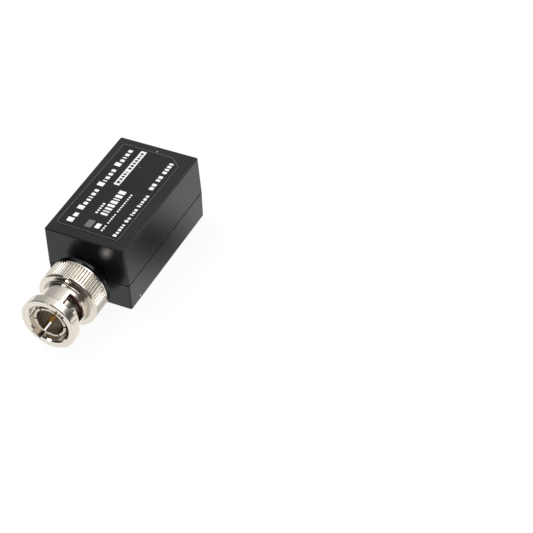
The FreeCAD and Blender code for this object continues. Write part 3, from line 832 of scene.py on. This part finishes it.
@dataclass(frozen=True)
class PrintRow:
    """Plain blocks in a row along the label, spread from one end to the other, in millimetres.

    Attributes:
        foot: X of the side that all blocks stand on.
        height: how far a tall block reaches across the label.
        start: Y where the row starts.
        end: Y where it ends.
        words: the relative lengths of each word's blocks.
        low: share of the height that a word's later blocks have.
        gap: relative space between blocks.
        space: relative space that is added between words.
    """

    foot: float
    height: float
    start: float
    end: float
    words: tuple[tuple[float, ...], ...]
    low: float = 1.0
    gap: float = 0.5
    space: float = 0.75

    def bars(self) -> list[Bar]:
        """Lay out the row.

        Returns:
            Bars as (x0, x1, y0, y1).
        """
        blocks = sum(sum(word) + self.gap * len(word) for word in self.words)
        total = blocks + self.space * (len(self.words) - 1) - self.gap
        scale = (self.end - self.start) / total
        bars = []
        at = self.start
        for word in self.words:
            for number, length in enumerate(word):
                reach = self.height if number == 0 else self.height * self.low
                bars.append((self.foot - reach, self.foot, at, at + length * scale))
                at += (length + self.gap) * scale
            at += self.space * scale
        return bars


@dataclass(frozen=True)
class PrintLayer:
    """All that one ink prints: rows, then plain plates as (x0, x1, y0, y1), in millimetres."""

    ink: Ink
    finish: SmoothSolid
    rows: tuple[PrintRow, ...] = ()
    plates: tuple[Bar, ...] = ()
    layers: float = 1.0

    def bars(self) -> list[Bar]:
        """Give every bar of the ink."""
        return [bar for row in self.rows for bar in row.bars()] + list(self.plates)


@dataclass
class Housing:
    """The two mouldings, their screws and the label with its print."""

    label_centre: Span = (-0.55 * MM, 0.2 * MM)
    label_turn: float = math.radians(-1.1)
    label_tolerance: float = 0.001 * MM
    ink_thickness: float = 0.01 * MM
    ink_rounding: float = 0.12 * MM
    ink_corner_steps: int = 3
    # a lighter strip along the label's edge, a painted highlight of that edge
    edge_highlight_width: float = 0.13 * MM
    border_ink: SmoothSolid = SmoothSolid("border ink", (0.1, 0.097, 0.105))
    # its lighter edges are wear and a painted highlight
    shell: MouldedPlastic = MouldedPlastic("housing plastic", (0.0076, 0.007, 0.0088), marks=(
        SurfaceMark((0.36 * MM, 15.86 * MM, 17.5 * MM), 0.14 * MM, (0.75, 0.75, 0.75)),
        SurfaceMark((10.33 * MM, -13.5 * MM, 1.0 * MM), 0.22 * MM, (0.6, 0.6, 0.6),
                    (1.0, 1.0, 0.6)),
        SurfaceMark((8.66 * MM, -17.7 * MM, 5.71 * MM), 0.5 * MM, (0.035, 0.035, 0.037),
                    (1.0, 1.0, 6.0)),
    ))
    film: MouldedPlastic = MouldedPlastic(
        "label film", (0.0058, 0.0054, 0.0066), roughness=0.24, specular=0.35, grain=7000.0,
        wear=0.2, dust_share=0.1,
        marks=(SurfaceMark((-0.5 * MM, 9.17 * MM, 17.62 * MM), 0.12 * MM, (0.3, 0.3, 0.3)),))
    screw: SheetMetal = SheetMetal("blackened steel", (0.12, 0.12, 0.125), roughness=0.35)
    print_layers: tuple[PrintLayer, ...] = (
        PrintLayer(
            Ink.WHITE,
            SmoothSolid("white ink", (0.85, 0.85, 0.85), roughness=0.45, unevenness=0.1),
            rows=(
                PrintRow(-5.1, 1.6, -13.5, 13.8, (
                    (1.3, 1.2), (1.2, 0.8, 0.55, 0.35, 0.8, 0.75), (1.2, 0.35, 0.85, 0.75, 0.8),
                    (1.1, 0.8, 0.35, 0.8, 0.85)), low=0.66),
                PrintRow(-1.4, 0.62, -8.7, -5.0, ((0.8, 0.7, 0.8, 0.8, 0.9),)),
                PrintRow(1.0, 1.75, -8.6, 0.3, ((0.75, 0.4, 0.75, 0.9, 1.0, 0.4, 1.0, 1.3),)),
                PrintRow(2.7, 0.42, -13.5, 0.0, (
                    (0.9, 0.9, 0.9), (0.9, 0.6, 0.9, 0.9, 0.9),
                    (0.9, 0.9, 0.9, 0.9, 0.9, 0.6, 0.9, 0.9, 0.9))),
                PrintRow(6.4, 0.9, -13.9, 1.2, (
                    (1.1, 0.9, 1.1, 0.8, 0.7), (1.1, 1.0), (0.5, 0.9, 1.1),
                    (0.8, 0.5, 0.9, 1.3, 1.0)), low=0.8),
                PrintRow(6.0, 1.05, 3.2, 13.3, (
                    (1.3, 1.2), (1.0, 1.2), (1.1, 0.9, 1.0, 0.8))),
            ),
            plates=((-3.3, -1.85, 1.6, 14.5), (0.35, 1.5, -13.1, -11.5))),
        PrintLayer(
            Ink.GREY, SmoothSolid("grey ink", (0.13, 0.13, 0.135), roughness=0.45),
            plates=((-2.0, -0.35, -13.5, -11.1),)),
        PrintLayer(
            Ink.BLACK, SmoothSolid("black ink", (0.012, 0.012, 0.012)),
            rows=(PrintRow(-2.2, 0.75, 2.2, 13.9, (
                (1.2, 0.8, 0.8, 0.7, 0.4), (0.9, 0.9, 0.8, 0.8, 0.8, 0.5, 0.9))),),
            layers=2.0),
    )

    def build(self) -> None:
        """Dress the housing's nodes and lay the print on the label."""
        dress(self.shell, "upper_cover", "lower_base")
        dress(self.film, "label_plate")
        dress(self.screw, "base_screws")
        self.print_label()

    def print_label(self) -> None:
        """Lay a painted highlight along the label's edge, and the inks, on the label, one piece for
        each.
        """
        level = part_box("label_plate")[1].z
        # painted highlight: a lighter strip stands for the light that the label's edge catches
        line = self.edge_highlight_strip(level)
        add_piece("label_border", line, self.border_ink.material(), Body.HOUSING)
        for layer in self.print_layers:
            shape = bmesh.new()
            for bar in layer.bars():
                self.lay_bar(shape, bar, level, layer.layers)
            add_piece(f"label_print_{layer.ink.value}", shape, layer.finish.material(),
                      Body.HOUSING)

    def edge_highlight_strip(self, level: float) -> Shape:
        """Make the thin lighter line that follows the label's outline: a painted highlight of the
        label's edge.

        Args:
            level: height of the label's face.

        Returns:
            The line's mesh.
        """
        shape = bmesh.new()
        shape.from_mesh(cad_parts["label_plate"].data)
        bmesh.ops.remove_doubles(shape, verts=shape.verts[:], dist=self.label_tolerance)
        foot = level - self.label_tolerance
        under = [face for face in shape.faces if min(vert.co.z for vert in face.verts) < foot]
        bmesh.ops.delete(shape, geom=under, context="FACES")
        inset = bmesh.ops.inset_region(
            shape, faces=shape.faces[:], thickness=self.edge_highlight_width, use_boundary=True,
            use_even_offset=True)
        line = set(inset["faces"])
        inside = [face for face in shape.faces if face not in line]
        bmesh.ops.delete(shape, geom=inside, context="FACES")
        raised = bmesh.ops.extrude_face_region(shape, geom=shape.faces[:])
        upper = [part for part in raised["geom"] if isinstance(part, bmesh.types.BMVert)]
        bmesh.ops.translate(shape, verts=upper, vec=(0.0, 0.0, self.ink_thickness))
        return shape

    def lay_bar(self, shape: Shape, bar: Bar, level: float, layers: float) -> None:
        """Add one thin bar with rounded corners to a mesh.

        Args:
            shape: mesh that grows.
            bar: x0, x1, y0, y1 in millimetres.
            level: height of the label's face.
            layers: thickness in layers of ink.
        """
        x0, x1, y0, y1 = (value * MM for value in bar)
        radius = min(self.ink_rounding, (x1 - x0) / 3, (y1 - y0) / 3)
        middle = Vector(self.label_centre)
        turn = Matrix.Rotation(self.label_turn, 2)
        left, right = x0 + radius, x1 - radius
        near, far = y0 + radius, y1 - radius
        rim = []
        for quarter, (x, y) in enumerate(((right, far), (left, far), (left, near), (right, near))):
            for step in range(self.ink_corner_steps + 1):
                angle = math.radians(90 * (quarter + step / self.ink_corner_steps))
                corner = Vector((x + radius * math.cos(angle), y + radius * math.sin(angle)))
                rim.append(middle + turn @ (corner - middle))
        low = [shape.verts.new((x, y, level)) for x, y in rim]
        high = [shape.verts.new((x, y, level + layers * self.ink_thickness)) for x, y in rim]
        shape.faces.new(high)
        shape.faces.new(low[::-1])
        for index in range(len(rim)):
            after = (index + 1) % len(rim)
            shape.faces.new((low[index], low[after], high[after], high[index]))


@dataclass(frozen=True)
class WaveSpring:
    """The flat ring bent into waves, which flattens on the real plug when the sleeve is pulled; this
    piece keeps its rest shape.
    """

    inner: float = 4.6 * MM
    outer: float = 5.9 * MM
    strip: float = 0.3 * MM
    axis_height: float = AXIS_HEIGHT
    waves: int = 3
    steps: int = 96
    travel: float = 0.8 * MM

    def build(self, material: Material) -> None:
        """Add the spring in place of its CAD node.

        Args:
            material: its finish.
        """
        low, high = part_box("wave_spring")
        length = high.y - low.y
        shape = bmesh.new()
        sections = [self.section(shape, index, low.y + length / 2, (length - self.strip) / 2)
                    for index in range(self.steps)]
        for index, section in enumerate(sections):
            after = sections[(index + 1) % self.steps]
            for corner in range(len(section)):
                beside = (corner + 1) % len(section)
                shape.faces.new((section[corner], section[beside], after[beside], after[corner]))
        piece = add_piece("waved_ring", shape, material, Body.HOUSING)
        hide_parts("wave_spring")
        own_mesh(piece)

    def section(self, shape: Shape, index: int, middle: float,
                swing: float) -> list[bmesh.types.BMVert]:
        """Add the four corners of the strip at one step round the ring.

        Args:
            shape: mesh that grows.
            index: number of the step.
            middle: Y of the waves' middle.
            swing: how far the strip's middle moves to each side.

        Returns:
            The corners, in order round the strip.
        """
        angle = 2.0 * math.pi * index / self.steps
        y = middle - swing * math.cos(self.waves * angle)
        corners = ((self.inner, 1), (self.outer, 1), (self.outer, -1), (self.inner, -1))
        return [shape.verts.new((radius * math.cos(angle), y + side * self.strip / 2,
                                 self.axis_height + radius * math.sin(angle)))
                for radius, side in corners]


@dataclass
class Plug:
    """The bayonet plug: black bushing, plated turned pieces, gold pin and rubber ring."""

    # the shaded corner puts painted shade at the foot of the sleeve's neck
    nickel: PlatedMetal = PlatedMetal(
        "nickel plate", (0.78, 0.725, 0.64), roughness=0.15, edge_rounding=0.12 * MM,
        shaded_corner=(5.45 * MM, -27.17 * MM))
    # a darker copy of the plating: painted shade for the plug's inside
    shaded_inner_nickel: PlatedMetal = PlatedMetal(
        "shaded inner nickel plate", (0.6, 0.545, 0.47), recess_strength=0.7)
    gold: PlatedMetal = PlatedMetal(
        "gold plate", (0.8, 0.5, 0.16), roughness=0.32, painted_shade_colour=(0.35, 0.2, 0.06),
        recess_strength=0.4)
    bushing: MouldedPlastic = MouldedPlastic(
        "bushing plastic", (0.003, 0.003, 0.0034), roughness=0.13, specular=0.3,
        grain_depth=0.0005 * MM, wear=0.3, wear_reach=0.15 * MM)
    # dark red rubber, darkened further as painted shade in the bayonet slot
    rubber: SmoothSolid = SmoothSolid("gasket rubber", (0.055, 0.006, 0.005), roughness=0.55)
    dielectric: SmoothSolid = SmoothSolid("dielectric", (0.72, 0.71, 0.66), roughness=0.5)
    spring: SheetMetal = SheetMetal("spring steel", (0.45, 0.44, 0.42), roughness=0.25)
    waved: WaveSpring = WaveSpring()

    def build(self) -> None:
        """Dress the plug's nodes and add the spring."""
        dress(self.nickel, "coupling_sleeve", "retaining_ring")
        dress(self.shaded_inner_nickel, "plug_body", "outer_contact", "plug_nut")
        dress(self.gold, "centre_pin")
        dress(self.bushing, "insulating_bushing")
        dress(self.rubber, "gasket")
        dress(self.dielectric, "insulator")
        self.waved.build(dress(self.spring, "slip_washer"))


@dataclass
class Electronics:
    """The board with its parts, and the terminal block with its ways."""

    ways: int = 4
    mask: SmoothSolid = SmoothSolid("solder mask", (0.012, 0.09, 0.035), roughness=0.3)
    epoxy: SmoothSolid = SmoothSolid("chip epoxy", (0.012, 0.012, 0.012), roughness=0.5)
    ferrite: SmoothSolid = SmoothSolid("ferrite", (0.035, 0.035, 0.038), roughness=0.6)
    ceramic: SmoothSolid = SmoothSolid("ceramic", (0.42, 0.3, 0.19))
    can: SheetMetal = SheetMetal("can aluminium", (0.72, 0.72, 0.74), roughness=0.3)
    tin: SheetMetal = SheetMetal("tin plate", (0.62, 0.6, 0.57), roughness=0.3)
    leaf: SheetMetal = SheetMetal("clamp steel", (0.5, 0.49, 0.47), roughness=0.25)
    block: MouldedPlastic = MouldedPlastic(
        "terminal plastic", (0.014, 0.014, 0.015), roughness=0.42)
    button: MouldedPlastic = MouldedPlastic(
        "button plastic", (0.3, 0.31, 0.32), roughness=0.4, wear=0.3,
        wear_and_highlight_colour=(0.5, 0.5, 0.5), dust_share=0.03)

    def build(self) -> None:
        """Dress the board's and the terminals' nodes."""
        dress(self.mask, "circuit_board")
        dress(self.epoxy, "amplifier_chip", "voltage_regulator", "surge_suppressors",
              "chip_resistors")
        dress(self.ferrite, "common_mode_choke")
        dress(self.ceramic, "chip_capacitors")
        dress(self.can, "filter_capacitors")
        dress(self.block, "terminal_block")
        ways = range(1, self.ways + 1)
        dress(self.button, *(f"terminal_button_{way}" for way in ways))
        dress(self.leaf, *(f"clamp_spring_{way}" for way in ways))
        dress(self.tin, *(f"terminal_pin_{way}" for way in ways))


# Studio

@dataclass(frozen=True)
class SoftLight:
    """A rectangular or oval studio light that looks at its aim. The camera doesn't see it."""

    name: str
    place: Point
    size: Span
    power: float
    in_gloss: bool = False
    aim: Point = (0.0, -0.005, 0.008)
    colour: Colour = WHITE
    oval: bool = False

    def build(self) -> None:
        """Add the light."""
        data = bpy.data.lights.new(self.name, "AREA")
        data.shape = "ELLIPSE" if self.oval else "RECTANGLE"
        data.size, data.size_y = self.size
        data.energy = self.power
        data.color = self.colour
        lamp = bpy.data.objects.new(self.name, data)
        lamp.location = self.place
        way = Vector(self.aim) - Vector(self.place)
        lamp.rotation_euler = way.to_track_quat("-Z", "Y").to_euler()
        lamp.visible_glossy = self.in_gloss
        lamp.visible_camera = False
        bpy.context.scene.collection.objects.link(lamp)


@dataclass(frozen=True)
class Glint:
    """Light that the bright sleeve throws back on the housing's front.

    Discs of light stand one behind the other, the small and bright ones first. Each step is a
    disc's width and its power for each square metre.
    """

    place: Point = (0.0044, -0.0194, 0.014)
    aim: Point = (0.0057, -0.01775, 0.0157)
    steps: tuple[Span, ...] = ((0.001, 5.4), (0.0017, 4.1), (0.0024, 2.7), (0.0034, 1.3))
    gap: float = 0.04 * MM
    colour: Colour = (1.0, 0.92, 0.84)

    def lights(self) -> list[SoftLight]:
        """Give the discs as small lights.

        Returns:
            The lights, front to back.
        """
        place = Vector(self.place)
        back = (place - Vector(self.aim)).normalized()
        lights = []
        for number, (width, density) in enumerate(self.steps):
            power = density * math.pi * width ** 2 / 4.0
            lights.append(SoftLight(
                f"sleeve glint {number}", tuple(place + number * self.gap * back), (width, width),
                power, in_gloss=True, aim=self.aim, colour=self.colour, oval=True))
        return lights


@dataclass(frozen=True)
class Room:
    """The room that gloss shows round the object, by parts of the direction looked in.

    Attributes:
        dark_front: colour of the room's front.
        front_y: Y where the front is full, and where it ends.
        front_z: Z where the front starts, and where it is full.
        right_grey: colour low down on the right.
        right_x: X where the grey starts, and where it is full.
        right_z: Z where the grey is full, and where it ends.
        left_level: brightness on the far left.
        left_x: X where the left is dimmest, and where it is plain.
        overhead: brightness overhead, right of the middle.
        overhead_x: X where it starts, and where it is full.
        overhead_z: Z where it starts, and where it is full.
    """

    dark_front: Colour = (0.035, 0.03, 0.028)
    front_y: Span = (-0.3, -0.02)
    front_z: Span = (0.0, 0.08)
    right_grey: Colour = (0.12, 0.117, 0.114)
    right_x: Span = (0.35, 0.65)
    right_z: Span = (0.3, 0.75)
    left_level: float = 0.5
    left_x: Span = (-0.7, 0.1)
    overhead: float = 3.0
    overhead_x: Span = (0.05, 0.3)
    overhead_z: Span = (0.5, 0.7)

    @staticmethod
    def direction(graph: Graph) -> Sockets:
        """Give the X, Y and Z of the direction looked in."""
        return graph.split(graph.add("ShaderNodeTexCoord").outputs["Generated"])

    def colour(self, graph: Graph, in_gloss: Socket) -> Socket:
        """Colour of the seen room: white, in gloss with a dark front and a grey right.

        Args:
            graph: the world's graph.
            in_gloss: 1 for rays that left a glossy surface.

        Returns:
            A socket with the colour.
        """
        way = self.direction(graph)
        front = graph.math("MULTIPLY", graph.range(way["Y"], *self.front_y, 1.0, 0.0),
                           graph.range(way["Z"], *self.front_z))
        right = graph.math("MULTIPLY", graph.range(way["X"], *self.right_x),
                           graph.range(way["Z"], *self.right_z, 1.0, 0.0))
        colour = graph.mix(graph.math("MULTIPLY", front, in_gloss), WHITE, self.dark_front)
        return graph.mix(graph.math("MULTIPLY", right, in_gloss), colour, self.right_grey)

    def level(self, graph: Graph, in_gloss: Socket) -> Socket:
        """Brightness of the seen room: in gloss dimmer to the left and brighter overhead.

        Args:
            graph: the world's graph.
            in_gloss: 1 for rays that left a glossy surface.

        Returns:
            A socket with the brightness.
        """
        way = self.direction(graph)
        loss = graph.range(way["X"], *self.left_x, 1.0 - self.left_level, 0.0)
        gain = graph.math("MULTIPLY", graph.range(way["X"], *self.overhead_x),
                          graph.range(way["Z"], *self.overhead_z, 0.0, self.overhead - 1.0))
        change = graph.math("MULTIPLY", graph.math("SUBTRACT", gain, loss), in_gloss)
        return graph.math("ADD", 1.0, change)


@dataclass(frozen=True)
class DimPatch:
    """A soft dim patch of the floor, which only gloss shows."""

    place: Point
    turn: float
    reach: Span
    depth: float

    def share(self, graph: Graph, position: Socket) -> Socket:
        """Add the patch to the floor's graph.

        Args:
            graph: the floor's graph.
            position: the place on the floor.

        Returns:
            A socket that falls softly from the patch's middle to 0.
        """
        place = graph.add("ShaderNodeMapping", vector_type="TEXTURE")
        graph.feed(place, vector=position, location=self.place,
                   rotation=(0.0, 0.0, self.turn), scale=(*self.reach, 1.0))
        distance = graph.vector("LENGTH", place.outputs[0])
        return graph.range(distance, 0.0, 1.0, self.depth, 0.0)


@dataclass(frozen=True)
class Floor:
    """White paper that keeps a soft share of the object's shadow.

    Attributes:
        reach: half its width.
        level: its height.
        colour: colour that its lit share has.
        glow: brightness of its glowing share.
        shadow_share: lit share that the camera sees.
        gloss_share: glowing share that gloss shows.
        dim_colour: colour of its front and of the dim patches, in gloss alone.
        front: Y where that front is full, and where it ends.
        patches: the dim patches.
    """

    reach: float = 2.0
    level: float = -0.02 * MM
    colour: Colour = (0.85, 0.85, 0.85)
    glow: float = 1.03
    shadow_share: float = 0.11
    gloss_share: float = 0.95
    dim_colour: Colour = (0.02, 0.02, 0.02)
    front: Span = (-0.07, -0.052)
    patches: tuple[DimPatch, ...] = (
        DimPatch((0.0195, 0.0055, 0.0), math.radians(28.0), (0.024, 0.0155), 0.9),
        DimPatch((0.040, -0.009, 0.0), math.radians(-25.0), (0.024, 0.013), 0.75),
    )

    def build(self) -> None:
        """Add the floor."""
        shape = bmesh.new()
        corners = [shape.verts.new((x * self.reach, y * self.reach, self.level))
                   for x, y in ((-1, -1), (1, -1), (1, 1), (-1, 1))]
        shape.faces.new(corners)
        mesh = bpy.data.meshes.new("floor")
        shape.to_mesh(mesh)
        shape.free()
        mesh.materials.append(self.material())
        floor = bpy.data.objects.new("floor", mesh)
        bpy.context.scene.collection.objects.link(floor)

    def material(self) -> Material:
        """Build the paper: partly lit and partly glowing, dim in places in gloss alone.

        Returns:
            The material.
        """
        material = bpy.data.materials.new("floor paper")
        material.use_nodes = True
        graph = Graph(material.node_tree)
        rays = graph.add("ShaderNodeLightPath").outputs
        in_gloss = rays["Is Glossy Ray"]
        plain = graph.math("MAXIMUM", rays["Is Camera Ray"], rays["Is Transmission Ray"])
        share = graph.math("ADD", graph.math("MULTIPLY", plain, 1.0 - self.shadow_share),
                           graph.math("MULTIPLY", in_gloss, self.gloss_share))
        position = graph.add("ShaderNodeNewGeometry").outputs["Position"]
        behind = graph.range(graph.split(position)["Y"], *self.front)
        clear = graph.math("MULTIPLY", in_gloss, behind)
        for patch in self.patches:
            left = graph.math("SUBTRACT", 1.0, patch.share(graph, position))
            clear = graph.math("MULTIPLY", clear, left)
        dim = graph.math("SUBTRACT", in_gloss, clear)
        glow = graph.add("ShaderNodeEmission")
        graph.feed(glow, color=graph.mix(dim, WHITE, self.dim_colour), strength=self.glow)
        paper = graph.feed(graph.add("ShaderNodeBsdfDiffuse"), color=self.colour)
        mix = graph.add("ShaderNodeMixShader")
        graph.feed(mix, n0=share, n1=paper.outputs[0], n2=glow.outputs[0])
        graph.feed(graph.add("ShaderNodeOutputMaterial"), surface=mix.outputs[0])
        return material


@dataclass
class Studio:
    """Camera, lights, world and floor."""

    camera_place: Point = (0.175398, -0.259418, 0.278551)
    camera_right: Point = (0.899133, 0.435155, -0.046914)
    camera_down: Point = (0.264221, -0.625123, -0.734444)
    camera_lens: float = 121.25
    camera_sensor: float = 36.0
    camera_clip: Span = (0.01, 20.0)
    world_light: float = 0.6
    room: Room = Room()
    floor: Floor = Floor()
    lights: tuple[SoftLight, ...] = (
        SoftLight("key light", (-0.35, 0.1, 0.6), (0.5, 0.5), 3.2),
        SoftLight("fill light", (0.45, -0.35, 0.35), (0.4, 0.4), 0.8),
        SoftLight("window light", (-0.17, -0.42, 0.41), (0.16, 0.05), 0.3, in_gloss=True),
    )
    glint: Glint = Glint()

    def build(self) -> None:
        """Set up the whole studio."""
        self.build_camera()
        self.build_world()
        self.floor.build()
        for light in (*self.lights, *self.glint.lights()):
            light.build()
        bpy.context.scene.view_settings.view_transform = "Standard"

    def build_camera(self) -> None:
        """Place the camera where the photograph was taken from."""
        data = bpy.data.cameras.new("camera")
        data.lens = self.camera_lens
        data.sensor_width = self.camera_sensor
        data.clip_start, data.clip_end = self.camera_clip
        camera = bpy.data.objects.new("camera", data)
        right = Vector(self.camera_right).normalized()
        up = -Vector(self.camera_down).normalized()
        turn = Matrix((right, up, right.cross(up))).transposed().to_4x4()
        camera.matrix_world = Matrix.Translation(self.camera_place) @ turn
        bpy.context.scene.collection.objects.link(camera)
        bpy.context.scene.camera = camera

    def build_world(self) -> None:
        """Show the room where the world is seen, and give plain soft light elsewhere."""
        world = bpy.data.worlds.new("studio world")
        bpy.context.scene.world = world
        world.use_nodes = True
        graph = Graph(world.node_tree)
        rays = graph.add("ShaderNodeLightPath").outputs
        in_gloss = rays["Is Glossy Ray"]
        plain = graph.math("MAXIMUM", rays["Is Camera Ray"], rays["Is Transmission Ray"])
        seen = graph.add("ShaderNodeBackground")
        graph.feed(seen, color=self.room.colour(graph, in_gloss),
                   strength=self.room.level(graph, in_gloss))
        soft = graph.add("ShaderNodeBackground")
        graph.feed(soft, color=WHITE, strength=self.world_light)
        mix = graph.add("ShaderNodeMixShader")
        graph.feed(mix, n0=graph.math("MAXIMUM", plain, in_gloss), n1=soft.outputs[0],
                   n2=seen.outputs[0])
        graph.feed(graph.add("ShaderNodeOutputWorld"), surface=mix.outputs[0])


def main() -> None:
    """Build the studio and dress each sub-assembly."""
    logging.basicConfig(level=logging.INFO, format="%(name)s: %(message)s")
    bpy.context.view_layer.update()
    Studio().build()
    for assembly in (Housing(), Plug(), Electronics()):
        assembly.build()
        log.info("built %s", type(assembly).__name__)


if __name__ == "__main__":
    main()
